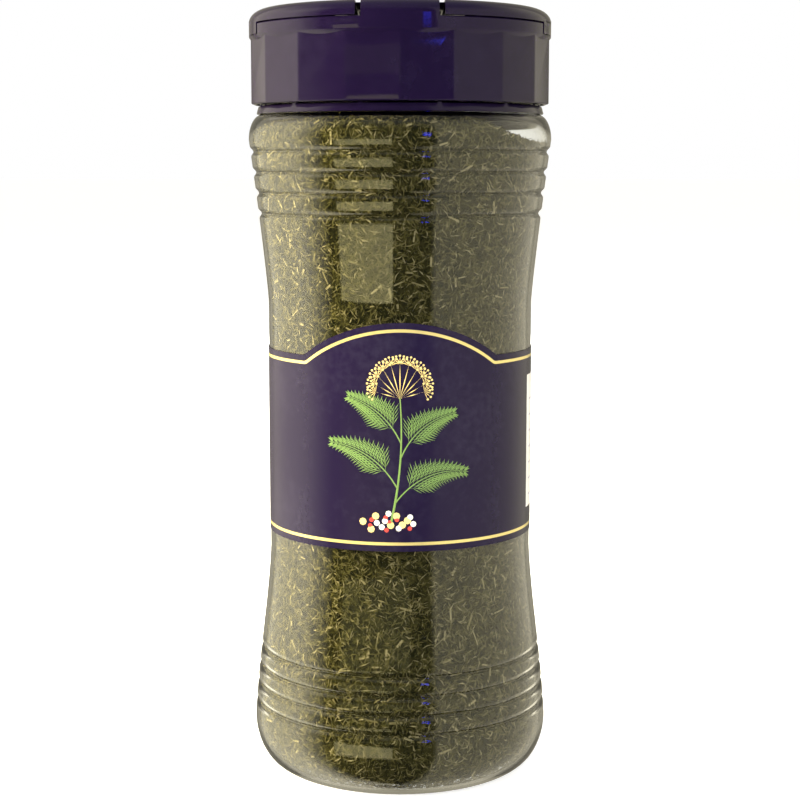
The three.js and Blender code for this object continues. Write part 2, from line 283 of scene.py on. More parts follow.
# Materials
def new_material(name):
    material = bpy.data.materials.new(name)
    material.use_nodes = True
    tree = material.node_tree
    return material, tree, tree.nodes["Principled BSDF"]


def add(tree, kind, inputs=None, **settings):
    """A node with its settings, and its inputs set to values or linked to sockets."""
    made = tree.nodes.new(kind)
    for key, value in settings.items():
        setattr(made, key, value)
    for key, value in (inputs or {}).items():
        if isinstance(value, bpy.types.NodeSocket):
            tree.links.new(value, made.inputs[key])
        else:
            made.inputs[key].default_value = value
    return made


def ramp(tree, value, stops):
    made = add(tree, "ShaderNodeValToRGB", {"Fac": value})
    elements = made.color_ramp.elements
    while len(elements) < len(stops):
        elements.new(0.5)
    for element, (position, colour) in zip(elements, stops):
        element.position = position
        element.color = (*colour, 1)
    return made.outputs["Color"]


def plain(shader, **values):
    for key, value in values.items():
        shader.inputs[key.replace("_", " ")].default_value = value


def handling_marks():
    """Group shared by the plastics and the film: faint rubs and dust, and a fine moulded unevenness."""
    group = bpy.data.node_groups.new("handling_marks", "ShaderNodeTree")
    for name, default in (("Rub Scale", 300.0), ("Rub Share", 0.4), ("Grain Scale", 900.0)):
        socket = group.interface.new_socket(name, in_out="INPUT", socket_type="NodeSocketFloat")
        socket.default_value = default
    group.interface.new_socket("Rub", in_out="OUTPUT", socket_type="NodeSocketFloat")
    group.interface.new_socket("Height", in_out="OUTPUT", socket_type="NodeSocketFloat")
    source = group.nodes.new("NodeGroupInput").outputs
    place = add(group, "ShaderNodeTexCoord").outputs["Object"]
    cloud = add(group, "ShaderNodeTexNoise", {"Vector": place, "Scale": 45.0, "Detail": 4.0})
    fine = add(group, "ShaderNodeTexNoise", {"Vector": place, "Scale": source["Rub Scale"], "Detail": 6.0})
    both = add(group, "ShaderNodeMath", {0: cloud.outputs["Fac"], 1: fine.outputs["Fac"]},
               operation="MULTIPLY")
    rub = add(group, "ShaderNodeMapRange", {"Value": both.outputs[0], "From Min": 0.22, "From Max": 0.42})
    share = add(group, "ShaderNodeMath", {0: rub.outputs[0], 1: source["Rub Share"]}, operation="MULTIPLY")
    grain = add(group, "ShaderNodeTexNoise", {"Vector": place, "Scale": source["Grain Scale"],
                                              "Detail": 3.0})
    out = group.nodes.new("NodeGroupOutput")
    group.links.new(share.outputs[0], out.inputs["Rub"])
    group.links.new(grain.outputs["Fac"], out.inputs["Height"])
    return group


MARKS = handling_marks()


def marked(tree, scale, share, grain):
    made = tree.nodes.new("ShaderNodeGroup")
    made.node_tree = MARKS
    made.inputs["Rub Scale"].default_value = scale
    made.inputs["Rub Share"].default_value = share
    made.inputs["Grain Scale"].default_value = grain
    return made.outputs


def finish_surface(tree, shader, marks, roughness, colour, rubbed, bump):
    """Colour and roughness that lighten where the surface is rubbed, with a fine bump."""
    tint = add(tree, "ShaderNodeMix", {"Factor": marks["Rub"]}, data_type="RGBA")
    if isinstance(colour, bpy.types.NodeSocket):
        tree.links.new(colour, tint.inputs["A"])
    else:
        tint.inputs["A"].default_value = (*colour, 1)
    tint.inputs["B"].default_value = (*rubbed, 1)
    rough = add(tree, "ShaderNodeMapRange", {"Value": marks["Rub"], "To Min": roughness[0],
                                             "To Max": roughness[1]})
    relief = add(tree, "ShaderNodeBump", {"Height": marks["Height"], "Strength": bump,
                                          "Distance": 0.02 * MM})
    tree.links.new(tint.outputs["Result"], shader.inputs["Base Color"])
    tree.links.new(rough.outputs[0], shader.inputs["Roughness"])
    tree.links.new(relief.outputs[0], shader.inputs["Normal"])


def navy_plastic():
    material, tree, shader = new_material("navy_plastic")
    plain(shader, IOR=1.36)
    finish_surface(tree, shader, marked(tree, 260, 0.2, 1500), (0.03, 0.16),
                   (0.0052, 0.0026, 0.013), (0.012, 0.009, 0.024), 0.12)
    return material


def clear_plastic():
    material, tree, shader = new_material("clear_plastic")
    plain(shader, Base_Color=(0.97, 0.97, 0.93, 1), Roughness=0.03, IOR=1.5, Transmission_Weight=1.0)
    place = add(tree, "ShaderNodeTexCoord").outputs["Object"]
    flow = add(tree, "ShaderNodeTexNoise", {"Vector": place, "Scale": 38.0, "Detail": 1.0})
    relief = add(tree, "ShaderNodeBump", {"Height": flow.outputs["Fac"], "Strength": 0.3,
                                          "Distance": 0.25 * MM})
    tree.links.new(relief.outputs[0], shader.inputs["Normal"])
    shadow = add(tree, "ShaderNodeLightPath").outputs["Is Shadow Ray"]
    through = add(tree, "ShaderNodeBsdfTransparent")
    mix = add(tree, "ShaderNodeMixShader", {0: shadow, 1: shader.outputs[0], 2: through.outputs[0]})
    tree.links.new(mix.outputs[0], tree.nodes["Material Output"].inputs["Surface"])
    return material


# Dill tones from near-black through dark green to straw; the darkest stops give dark leaf and also the
# painted shade that scatter puts on deeper flakes
DILL_STOPS = [
    (0.0, (0.008, 0.009, 0.003)),
    (0.3, (0.034, 0.033, 0.01)),
    (0.6, (0.092, 0.083, 0.027)),
    (0.8, (0.15, 0.132, 0.056)),
    (1.0, (0.29, 0.255, 0.13)),
]


def dried_leaf():
    material, tree, shader = new_material("dried_leaf")
    plain(shader, Roughness=0.8, Specular_IOR_Level=0.08)
    shade = add(tree, "ShaderNodeAttribute", attribute_name="shade").outputs["Fac"]
    place = add(tree, "ShaderNodeTexCoord").outputs["Object"]
    mottle = add(tree, "ShaderNodeTexNoise", {"Vector": place, "Scale": 900.0, "Detail": 2.0})
    shift = add(tree, "ShaderNodeMath", {0: mottle.outputs["Fac"], 1: 0.22, 2: shade},
                operation="MULTIPLY_ADD")
    back = add(tree, "ShaderNodeMath", {0: shift.outputs[0], 1: 0.11}, operation="SUBTRACT")
    tree.links.new(ramp(tree, back.outputs[0], DILL_STOPS), shader.inputs["Base Color"])
    return material


# Painted shade: the core under the loose flakes is packed dill coloured much darker than the flakes,
# standing for the shade in the gaps between them
def packed_leaf_in_shade():
    material, tree, shader = new_material("packed_leaf_in_shade")
    plain(shader, Roughness=0.9, Specular_IOR_Level=0.08)
    place = add(tree, "ShaderNodeTexCoord").outputs["Object"]
    flakes = add(tree, "ShaderNodeTexVoronoi", {"Vector": place, "Scale": 420.0, "Randomness": 1.0})
    tree.links.new(ramp(tree, flakes.outputs["Color"], [
        (0.0, (0.008, 0.009, 0.003)), (0.6, (0.028, 0.027, 0.009)), (1.0, (0.07, 0.064, 0.022)),
    ]), shader.inputs["Base Color"])
    relief = add(tree, "ShaderNodeBump", {"Height": flakes.outputs["Distance"], "Strength": 0.8,
                                          "Distance": MM})
    tree.links.new(relief.outputs[0], shader.inputs["Normal"])
    return material


def step_mask(tree, value, low, high, soft=0.06):
    """One where the value lies between two limits, with a thin soft edge."""
    rise = add(tree, "ShaderNodeMapRange", {"Value": value, "From Min": low - soft, "From Max": low + soft})
    fall = add(tree, "ShaderNodeMapRange", {
        "Value": value, "From Min": high - soft, "From Max": high + soft, "To Min": 1.0, "To Max": 0.0})
    return times(tree, rise.outputs[0], fall.outputs[0])


def times(tree, first, second):
    return add(tree, "ShaderNodeMath", {0: first, 1: second}, operation="MULTIPLY").outputs[0]


def over(tree, mask, below, above):
    """A colour laid over another where the mask is one."""
    return add(tree, "ShaderNodeMix", {"Factor": mask, "A": below, "B": above},
               data_type="RGBA").outputs["Result"]


def label_film():
    """Printed film: navy ground, gold keylines along the edges and a pale ruled panel to write on."""
    material, tree, shader = new_material("label_film")
    plain(shader, IOR=1.34)
    edge, across, height = (
        add(tree, "ShaderNodeAttribute", attribute_name=name).outputs["Fac"]
        for name in ("edge", "across", "height"))
    gold = step_mask(tree, edge, *KEYLINE)
    panel = times(tree, step_mask(tree, across, *PANEL_ACROSS), step_mask(tree, edge, PANEL_INSET, 90))
    inner = times(tree, step_mask(tree, across, PANEL_ACROSS[0] + 3, PANEL_ACROSS[1] - 3),
                  step_mask(tree, edge, PANEL_INSET + 3, 90))
    row = add(tree, "ShaderNodeMath", {0: height, 1: 5.0}, operation="MODULO").outputs[0]
    rule = times(tree, inner, step_mask(tree, row, 2.3, 2.6))
    colour = over(tree, gold, (0.0075, 0.0042, 0.019, 1), (0.78, 0.64, 0.24, 1))
    colour = over(tree, panel, colour, (0.78, 0.76, 0.7, 1))
    colour = over(tree, rule, colour, (0.2, 0.19, 0.3, 1))
    shine = add(tree, "ShaderNodeMapRange", {"Value": gold, "To Max": 0.6}).outputs[0]
    tree.links.new(shine, shader.inputs["Metallic"])
    finish_surface(tree, shader, marked(tree, 500, 0.1, 2500), (0.24, 0.45), colour,
                   (0.06, 0.055, 0.09), 0.12)
    return material


def ink(name, colour, roughness):
    material, tree, shader = new_material(name)
    finish_surface(tree, shader, marked(tree, 700, 0.2, 3000), (roughness, roughness + 0.15),
                   colour, [value * 0.7 for value in colour], 0.1)
    return material


def foam():
    material, tree, shader = new_material("seal_foam")
    finish_surface(tree, shader, marked(tree, 400, 0.5, 1200), (0.7, 0.9), (0.82, 0.8, 0.74),
                   (0.7, 0.67, 0.6), 0.6)
    return material


def hand_over(piece, material, body, slot, *nodes):
    """Dresses a finished piece in its material, sets what it rides on and hides the CAD parts of the nodes
    that it stands for; the finish slot is not used.
    """
    piece.data.materials.clear()
    piece.data.materials.append(material)
    if body:
        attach(piece, body)
    if nodes:
        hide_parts(*nodes)
    return piece


# Jar
def make_jar(material):
    shell = turned("clear_jar", jar_outside() + neck_outline() + jar_inside()[::-1], JAR_STEPS)
    hand_over(shade_smooth(shell, 50), material, "jar", "clear_plastic", "jar")
    hand_over(screw_ridge("neck_thread", 212.5, (42.3, 43.9), (1.0, 0.45)), material, "jar",
              "clear_plastic")


def screw_ridge(name, z, radii, halves):
    """A trapezium ridge that climbs round the axis, with closed ends."""
    (inner, outer), (inner_half, outer_half) = radii, halves
    section = [(inner, z - inner_half), (outer, z - outer_half), (outer, z + outer_half),
               (inner, z + inner_half)]
    piece = draw_chain(name, section + section[:1])
    bpy.ops.mesh.select_all(action="SELECT")
    bpy.ops.mesh.remove_doubles(threshold=0.001 * MM)
    bpy.ops.object.mode_set(mode="OBJECT")
    modifier = piece.modifiers.new("climb", "SCREW")
    modifier.axis = "Z"
    modifier.angle = 2 * math.pi * THREAD_TURNS
    modifier.screw_offset = THREAD_PITCH * THREAD_TURNS * MM
    modifier.steps = modifier.render_steps = 150
    modifier.use_merge_vertices = False
    bpy.ops.object.modifier_apply(modifier="climb")
    bpy.ops.object.mode_set(mode="EDIT")
    close_up()
    return shade_smooth(piece)


# Filling
def heap_height(x):
    return HEAP_Z - HEAP_SAG * smooth(np.clip((x - HEAP_FROM) / (HEAP_TO - HEAP_FROM), 0, 1))


def cut_leaf(blunt):
    """One cut thread of leaf, a unit long and wide along +Z: three sides between two points."""
    bpy.ops.object.select_all(action="DESELECT")
    bpy.ops.mesh.primitive_cylinder_add(vertices=3, radius=0.5, depth=1, end_fill_type="TRIFAN")
    piece = bpy.context.object
    bpy.ops.object.mode_set(mode="EDIT")
    bpy.ops.mesh.select_mode(type="VERT")
    bpy.ops.mesh.select_all(action="DESELECT")
    bpy.ops.object.mode_set(mode="OBJECT")
    for corner in piece.data.vertices:
        corner.select = corner.co.xy.length > 0.1
    bpy.ops.object.mode_set(mode="EDIT")
    bpy.ops.transform.resize(value=(1, 1, blunt))
    bpy.ops.mesh.select_all(action="SELECT")
    bpy.ops.mesh.remove_doubles(threshold=0.01)
    bpy.ops.mesh.quads_convert_to_tris()
    bpy.ops.mesh.normals_make_consistent(inside=False)
    bpy.ops.object.mode_set(mode="OBJECT")
    corners = np.array([corner.co[:] for corner in piece.data.vertices])
    faces = np.array([face.vertices[:] for face in piece.data.polygons])
    bpy.data.objects.remove(piece)
    return corners, faces


INSIDE = np.array(jar_inside())
INSIDE_FLOOR, INSIDE_WALL = INSIDE[:DOME_POINTS], INSIDE[DOME_POINTS:]


def wall_places(random, count):
    """Places on the inner wall and base, even over its area, with the way up and the inward normal."""
    start, step = INSIDE[:-1], np.diff(INSIDE, axis=0)
    area = np.hypot(*step.T) * (start[:, 0] + step[:, 0] / 2)
    row = random.choice(len(start), count, p=area / area.sum())
    share = random.random(count)[:, None]
    flat = start[row] + step[row] * share
    along = step[row] / np.hypot(*step[row].T)[:, None]
    turn = random.uniform(-math.pi, math.pi, count)
    out = np.stack([np.sin(turn), -np.cos(turn)], 1)
    place = np.column_stack([out * flat[:, :1], flat[:, 1]])
    up = np.column_stack([out * along[:, :1], along[:, 1]])
    inward = np.column_stack([-out * along[:, 1:], along[:, 0]])
    hidden = (np.abs(place[:, 2] - (LABEL_LOW + LABEL_TOP) / 2) < 25) & (random.random(count) < 0.9)
    keep = (place[:, 2] < heap_height(place[:, 0]) - 0.3) & ~hidden
    return place[keep], up[keep], inward[keep]


def heap_places(random, count):
    """Places on the heap's sloping top, with a level direction and the downward normal."""
    r, turn = (SHOULDER_R - 1.5) * np.sqrt(random.random(count)), random.uniform(0, 2 * math.pi, count)
    x, y = r * np.cos(turn), r * np.sin(turn)
    place = np.column_stack([x, y, heap_height(x)])
    room = r < np.interp(place[:, 2], INSIDE_WALL[:, 1], INSIDE_WALL[:, 0])
    place = place[room]
    return place, np.tile([0.0, 1.0, 0.0], (len(place), 1)), np.tile([0.0, 0.0, -1.0], (len(place), 1))


def scatter(random, places, shape, long, wide, sink, shades):
    """Copies of a cut leaf lying along a surface: corners, as (copy, corner, xyz) in mm, and shades, which
    hold random leaf tone plus painted shade on deeper copies.
    """
    place, up, inward = places
    count = len(place)
    sideways = np.cross(up, inward)
    turn = random.uniform(0, 2 * math.pi, count)[:, None]
    tilt = random.normal(0, 0.2, count)[:, None]
    level = np.cos(turn) * up + np.sin(turn) * sideways
    along = np.cos(tilt) * level + np.sin(tilt) * inward
    across = np.cross(inward, level)
    out = np.cross(along, across)
    length = random.uniform(*long, count)[:, None]
    width = random.uniform(*wide, count)[:, None]
    bend = random.normal(0, 0.1, count)[:, None] * length
    x, y, z = shape[:, 0] * width, shape[:, 1] * width * 0.6, shape[:, 2] * length
    x = x + bend * (4 * shape[:, 2] ** 2 - 0.5)
    deep = np.clip(random.exponential(sink, count), 0.1, 3.0)[:, None]
    middle = place + inward * deep
    corners = (
        middle[:, None]
        + z[..., None] * along[:, None]
        + x[..., None] * across[:, None]
        + y[..., None] * out[:, None]
    )
    # Painted shade: each flake's shade value drops by 0.06 for every millimetre it lies behind the wall, so
    # deeper flakes come out darker; the rest of the spread is random leaf tone
    shade = np.clip(random.normal(shades[0], shades[1], count) - 0.06 * deep[:, 0], 0, 1)
    return keep_inside(corners), shade


def keep_inside(corners):
    """Presses corners back off the jar's base and wall."""
    reach = np.hypot(corners[..., 0], corners[..., 1])
    floor = np.interp(reach, INSIDE_FLOOR[:, 0], INSIDE_FLOOR[:, 1]) + 0.05
    corners[..., 2] = np.maximum(corners[..., 2], floor)
    limit = np.interp(corners[..., 2], INSIDE_WALL[:, 1], INSIDE_WALL[:, 0]) - 0.05
    corners[..., :2] *= np.minimum(1, limit / np.maximum(reach, 1e-6))[..., None]
    return corners


def copies_piece(name, groups):
    """One mesh from groups of copies: (corners of each copy, faces of one, shade of each copy)."""
    places, faces, shades, used = [], [], [], 0
    for corners, pattern, shade in groups:
        count, per_copy = corners.shape[:2]
        first = used + per_copy * np.arange(count)
        places.append(corners.reshape(-1, 3))
        faces.append((pattern[None] + first[:, None, None]).reshape(-1, 3))
        shades.append(np.repeat(shade, per_copy))
        used += count * per_copy
    mesh = bpy.data.meshes.new(name)
    mesh.from_pydata((np.concatenate(places) * MM).tolist(), [], np.concatenate(faces).tolist())
    values = mesh.attributes.new("shade", "FLOAT", "POINT")
    values.data.foreach_set("value", np.concatenate(shades).astype(np.float32))
    piece = bpy.data.objects.new(name, mesh)
    bpy.context.scene.collection.objects.link(piece)
    return piece


def make_dill():
    random = np.random.default_rng(SEED)
    thread, chip = cut_leaf(0), cut_leaf(0.9)
    kinds = [
        (thread, wall_places(random, 105000), (1.3, 3.4), (0.28, 0.62), 0.7, (0.45, 0.24)),
        (thread, wall_places(random, 14000), (2.0, 4.6), (0.24, 0.42), 0.25, (0.76, 0.14)),
        (chip, wall_places(random, 900), (1.6, 4.6), (0.35, 0.8), 0.2, (0.97, 0.12)),
        (thread, heap_places(random, 9000), (1.6, 4.0), (0.3, 0.65), 0.5, (0.5, 0.2)),
    ]
    made = []
    for (shape, faces), places, *sizes in kinds:
        corners, shades = scatter(random, places, shape, *sizes)
        middle = corners.mean(1)
        turn = np.arctan2(middle[:, 1], middle[:, 0]) / (2 * math.pi) % 1
        made.append((corners, faces, shades, np.floor(turn * DILL_SECTORS).astype(int)))
    loose = dried_leaf()
    for sector in range(DILL_SECTORS):
        groups = [(c[s == sector], f, h[s == sector]) for c, f, h, s in made]
        hand_over(copies_piece(f"dill_{sector + 1}", groups), loose, "jar", "dried_dill")
    # The core fills the gaps between flakes with dill in painted shade
    core = turned("dill_core", jar_inside(1.5) + [(NECK_BORE - 1.5, NECK_LIP), (0, NECK_LIP)], 96)
    for corner in core.data.vertices:
        corner.co.z = min(corner.co.z, (heap_height(corner.co.x / MM) - 1.2) * MM)
    hand_over(shade_smooth(core, 60), packed_leaf_in_shade(), "jar", "dried_dill", "dill")


# Label
def label_top(angle):
    return LABEL_TOP + ARCH_RISE * np.maximum(0, 1 - (angle / ARCH_HALF) ** 2)


def from_edge(across, height):
    """Distance of a place on the flat label from its lower or its arched upper edge."""
    line = np.linspace(-1.6 * ARCH_HALF, 1.6 * ARCH_HALF, 700)
    line_x, line_z = np.radians(line) * LABEL_R, label_top(line)
    gap = np.where(np.abs(across) > line_x[-1] - 4, LABEL_TOP - height, 1e9)
    near = np.nonzero(np.abs(across) < line_x[-1])[0]
    for part in np.array_split(near, 60):
        apart = np.hypot(across[part, None] - line_x, height[part, None] - line_z).min(1)
        gap[part] = np.minimum(gap[part], apart)
    return np.minimum(gap, height - LABEL_LOW)


def wrap(corners, r):
    """Flat (across, height, proud) millimetres laid round the jar, with the middle at the front."""
    angle = corners[:, 0] / r
    reach = r + corners[:, 2]
    return np.column_stack([reach * np.sin(angle), -reach * np.cos(angle), corners[:, 1]]) * MM


def make_label(material):
    width = math.radians(LABEL_WRAP) * LABEL_R
    columns, rows = 500, 90
    bpy.ops.object.select_all(action="DESELECT")
    bpy.ops.mesh.primitive_grid_add(x_subdivisions=columns, y_subdivisions=rows, size=1)
    sheet = bpy.context.object
    sheet.name = sheet.data.name = "label_sheet"
    unit = np.array([corner.co[:] for corner in sheet.data.vertices]) + [0.5, 0.5, 0]
    across = (unit[:, 0] - 0.5) * width
    top = label_top(np.degrees(across / LABEL_R))
    height = LABEL_LOW + (top - LABEL_LOW) * unit[:, 1]
    flat = np.column_stack([across, height, np.zeros(len(unit))])
    for name, values in (("edge", from_edge(across, height)), ("across", across), ("height", height)):
        layer = sheet.data.attributes.new(name, "FLOAT", "POINT")
        layer.data.foreach_set("value", values.astype(np.float32))
    sheet.data.vertices.foreach_set("co", wrap(flat, LABEL_R).astype(np.float32).ravel())
    modifier = sheet.modifiers.new("film", "SOLIDIFY")
    modifier.thickness = LABEL_THICK * MM
    modifier.offset = -1
    bpy.context.view_layer.objects.active = sheet
    bpy.ops.object.modifier_apply(modifier="film")
    hand_over(shade_smooth(sheet), material, "jar", "label_film", "label")


# Printed sprig on the label's front, in flat label millimetres from the middle
SPRIG_FOOT, SPRIG_CROWN = (-3.0, 83.0), (0.0, 121.5)
SPRIG_PROUD = 0.1
RIB_STEPS, BARE_STEPS = 18, 4
# Each frond's place on the stem, the flat place of its tip, and its sag
FRONDS = [(5, (21, 99), 0.16), (8, (-22, 108), -0.14), (14, (17, 117), 0.14), (17, (-16, 122), -0.12)]
BERRIES, BERRY_SPREAD, BERRY_LIFT = 21, (9, 2.8), 1.6


def stroke(shape, first, last, width):
    """A printed stroke from one flat place to another: a cut leaf laid on the label."""
    first, last = np.array(first, float), np.array(last, float)
    along = last - first
    length = np.hypot(*along)
    along = along / length
    across = np.array([-along[1], along[0]])
    place = (first + last) / 2 + shape[:, 2:] * length * along + shape[:, :1] * width * across
    return np.column_stack([place, shape[:, 1] * SPRIG_PROUD])


def bow(first, last, sag, steps):
    """Places along a bowed line, with the sag to its left."""
    first, last = np.array(first, float), np.array(last, float)
    side = np.array([first[1] - last[1], last[0] - first[0]])
    u = np.linspace(0, 1, steps + 1)[:, None]
    return first + (last - first) * u + side * sag * 4 * u * (1 - u)


def stem(shape, line, width):
    ends = zip(line[:-1], line[1:], np.linspace(1, 0.45, len(line) - 1))
    return [stroke(shape, a, b + (b - a) * 0.15, width * taper) for a, b, taper in ends]


def frond(thread, chip, root, tip, sag):
    """A feathery leaf: a bowed rib, twigs to both sides and fine threads on each twig."""
    rib = bow(root, tip, sag, RIB_STEPS)
    strokes = stem(chip, rib, 0.5)
    for i in range(BARE_STEPS, RIB_STEPS):
        heading = rib[i + 1] - rib[i]
        heading = heading / np.hypot(*heading)
        reach = 6.5 * (1 - i / (RIB_STEPS + 1)) + 1.2
        for side in (1, -1):
            twig = turned_flat(heading, side * 38) * reach
            strokes.append(stroke(thread, rib[i], rib[i] + twig, 0.34))
            for j in range(1, 5):
                foot = rib[i] + twig * j / 5
                for way in (1, -1):
                    hair = turned_flat(twig / reach, way * 30) * reach * 0.5
                    strokes.append(stroke(thread, foot, foot + hair, 0.28))
    return strokes


def turned_flat(way, degrees):
    c, s = math.cos(math.radians(degrees)), math.sin(math.radians(degrees))
    return np.array([way[0] * c - way[1] * s, way[0] * s + way[1] * c])


def berry():
    """A small round bead, a unit across."""
    bpy.ops.object.select_all(action="DESELECT")
    bpy.ops.mesh.primitive_uv_sphere_add(segments=8, ring_count=4, radius=0.5)
    piece = bpy.context.object
    bpy.ops.object.mode_set(mode="EDIT")
    bpy.ops.mesh.select_all(action="SELECT")
    bpy.ops.transform.rotate(value=math.pi / 2, orient_axis="X", center_override=(0, 0, 0))
    bpy.ops.mesh.quads_convert_to_tris()
    bpy.ops.object.mode_set(mode="OBJECT")
    corners = np.array([corner.co[:] for corner in piece.data.vertices])
    faces = np.array([face.vertices[:] for face in piece.data.polygons])
    bpy.data.objects.remove(piece)
    return corners, faces


def umbel(thread, bead, foot):
    """A flower head: rays that fan out, each with a small fan of its own and a bead at every tip."""
    rays, beads = [], []
    for i in range(11):
        ray = turned_flat((0, 1), (i - 5) * 15) * (10.2 - 0.11 * (i - 5) ** 2)
        head = np.array(foot) + ray
        rays.append(stroke(thread, foot, head, 0.36))
        for j in range(7):
            fine = turned_flat(ray / np.hypot(*ray), (j - 3) * 27) * 2.4
            rays.append(stroke(thread, head, head + fine, 0.24))
            beads.append(stroke(bead, head + fine * 0.88, head + fine * 1.16, 0.68))
    return rays, beads


def print_piece(name, strokes, faces, material):
    flat = np.concatenate(strokes)
    corners = wrap(flat, LABEL_R + 0.02) / MM
    copies = corners.reshape(len(strokes), -1, 3)
    piece = copies_piece(name, [(copies, faces, np.full(len(strokes), 0.5))])
    hand_over(piece, material, "jar", "label_film")


def make_sprig():
    (thread, thread_faces), (chip, chip_faces) = cut_leaf(0), cut_leaf(0.8)
    green = ink("leaf_ink", (0.13, 0.22, 0.05), 0.3)
    gold = ink("gold_ink", (0.6, 0.46, 0.16), 0.3)
    pale = ink("pale_ink", (0.62, 0.61, 0.54), 0.3)
    red = ink("red_ink", (0.42, 0.035, 0.025), 0.3)
    line = bow(SPRIG_FOOT, SPRIG_CROWN, -0.04, 26)
    ribs, hairs = stem(chip, line, 0.9), []
    for place, tip, sag in FRONDS:
        for part in frond(thread, chip, line[place], np.array(tip, float), sag):
            (ribs if len(part) == len(chip) else hairs).append(part)
    bead, bead_faces = berry()
    rays, beads = umbel(thread, bead, SPRIG_CROWN)
    print_piece("sprig_stems", ribs, chip_faces, green)
    print_piece("sprig_threads", hairs, thread_faces, green)
    print_piece("sprig_rays", rays, thread_faces, gold)
    print_piece("sprig_beads", beads, bead_faces, gold)
    berries = ([], [], [])
    wide, high = BERRY_SPREAD
    for i in range(BERRIES):
        turn, reach = 2.4 * i, math.sqrt(i / BERRIES)
        shift = [wide * reach * math.cos(turn), BERRY_LIFT + high * reach * math.sin(turn)]
        place = np.array(SPRIG_FOOT) + shift
        size = np.array([0.7 + 0.2 * (i % 3), 0])
        berries[i % 3].append(stroke(bead, place - size, place + size, 2 * size[0]))
    names = ("berries_red", "berries_pale", "berries_gold")
    for name, heap, material in zip(names, berries, (red, pale, gold)):
        print_piece(name, heap, bead_faces, material)


# Cap, lids and rings
def top_edge(low, r, lowered=0.0, steps=14):
    curve = arc(r - EDGE_RADIAL, LID_TOP - EDGE_DROP, EDGE_RADIAL, EDGE_DROP, 0, 90, steps)
    return [(r, low)] + [(x, max(low, z - lowered)) for x, z in curve]


def dome(name, low, r, lowered=0.0):
    return turned(name, [(0, low)] + top_edge(low, r, lowered) + [(0, LID_TOP - lowered)])


def pour_solid(inset, low, top):
    """The D-shaped pouring opening as a solid, drawn in by the inset."""
    return trim(disc(POUR_R - inset, low, top), (POUR_FROM + inset, 0, 0), (-1, 0, 0))


def thumb_solid(inner, outer, low, top, half, side):
    piece = turned("thumb", [(inner, low), (outer, low), (outer, top), (inner, top)])
    for way in (1, -1):
        angle = math.radians(half)
        trim(piece, (0, 0, 0), (-side * math.sin(angle), way * math.cos(angle), 0))
    return piece


def make_cap(material):
    cap = disc(SKIRT_CORNER, SKIRT_LOW, RIM_FULL, FACETS)
    cap.name = cap.data.name = "faceted_cap"
    soften(cap, 0.5, 3, 15)
    rim = turned("rim", [(0, RIM_LOW), (SKIRT_CORNER - 0.9, RIM_LOW), (RIM_R - 0.1, RIM_FULL - 0.2),
                         (RIM_R, RIM_FULL),
                         (RIM_R, RIM_TOP - 0.3), (RIM_R - 0.3, RIM_TOP), (0, RIM_TOP)])
    combine(cap, rim, "UNION")
    combine(cap, disc(RIM_BORE, DECK_TOP, LID_TOP), "DIFFERENCE")
    for side in (1, -1):
        combine(cap, thumb_solid(THUMB_LEDGE, RIM_R + 2, DECK_LOW, LID_TOP, THUMB_RECESS, side),
                "DIFFERENCE")
    combine(cap, disc(SKIRT_BORE, SKIRT_LOW - 1, DECK_LOW), "DIFFERENCE")
    bar = combine(dome("bar", DECK_LOW, RIM_R), block((-BAR_HALF, BAR_HALF), (-60, 60), (200, 260)),
                  "INTERSECT")
    combine(cap, soften(bar, 0.4, 3), "UNION")
    reach = BAR_HALF - BAR_SHELL
    hollow = dome("hollow", DECK_LOW - 1, RIM_R - BAR_SHELL, BAR_SHELL)
    combine(hollow, block((-reach, reach), (-60, 60), (200, 260)), "INTERSECT")
    combine(cap, hollow, "DIFFERENCE")
    combine(cap, pour_solid(0, DECK_LOW - 1, DECK_TOP + 1), "DIFFERENCE")
    for x, count in SIFT_ROWS:
        for i in range(count):
            hole = disc(SIFT_R, DECK_LOW - 1, DECK_TOP + 1, 24, (x, SIFT_APART * (i - (count - 1) / 2)))
            combine(cap, hole, "DIFFERENCE")
    hand_over(shade_smooth(cap), material, "cap", "navy_plastic", "cap")
    hand_over(screw_ridge("cap_thread", 209.96, (43.1, 44.6), (0.45, 1.0)), material, "cap", "navy_plastic")


def faced(piece, side):
    """Turns a tool made for the right-hand lid to the left where it is wanted there."""
    if side < 0:
        piece.data.transform(Matrix.Rotation(math.pi, 4, "Z"))
    return piece


def make_lid(name, node, side, ridge_low, material):
    lid = combine(dome(name, LID_LOW, RIM_R), dome("under", LID_LOW - 1, RIM_R - LID_WALL, LID_PLATE),
                  "DIFFERENCE")
    trim(lid, (side * LID_FROM, 0, 0), (-side, 0, 0))
    combine(lid, thumb_solid(THUMB_INNER, RIM_R, THUMB_LOW, LID_LOW + 1, THUMB_HALF, side), "UNION")
    panel = faced(pour_solid(LID_PANEL_INSET, LID_TOP - LID_PANEL_DEEP, LID_TOP + 1), side)
    soften(combine(lid, panel, "DIFFERENCE"), 0.25, 3)
    under = LID_TOP - LID_PLATE
    ridge = pour_solid(RIDGE_PLAY, ridge_low, under + 0.5)
    combine(ridge, pour_solid(RIDGE_PLAY + RIDGE_WALL, ridge_low - 1, under + 1), "DIFFERENCE")
    combine(lid, faced(ridge, side), "UNION")
    hand_over(shade_smooth(lid), material, node, "navy_plastic", node)


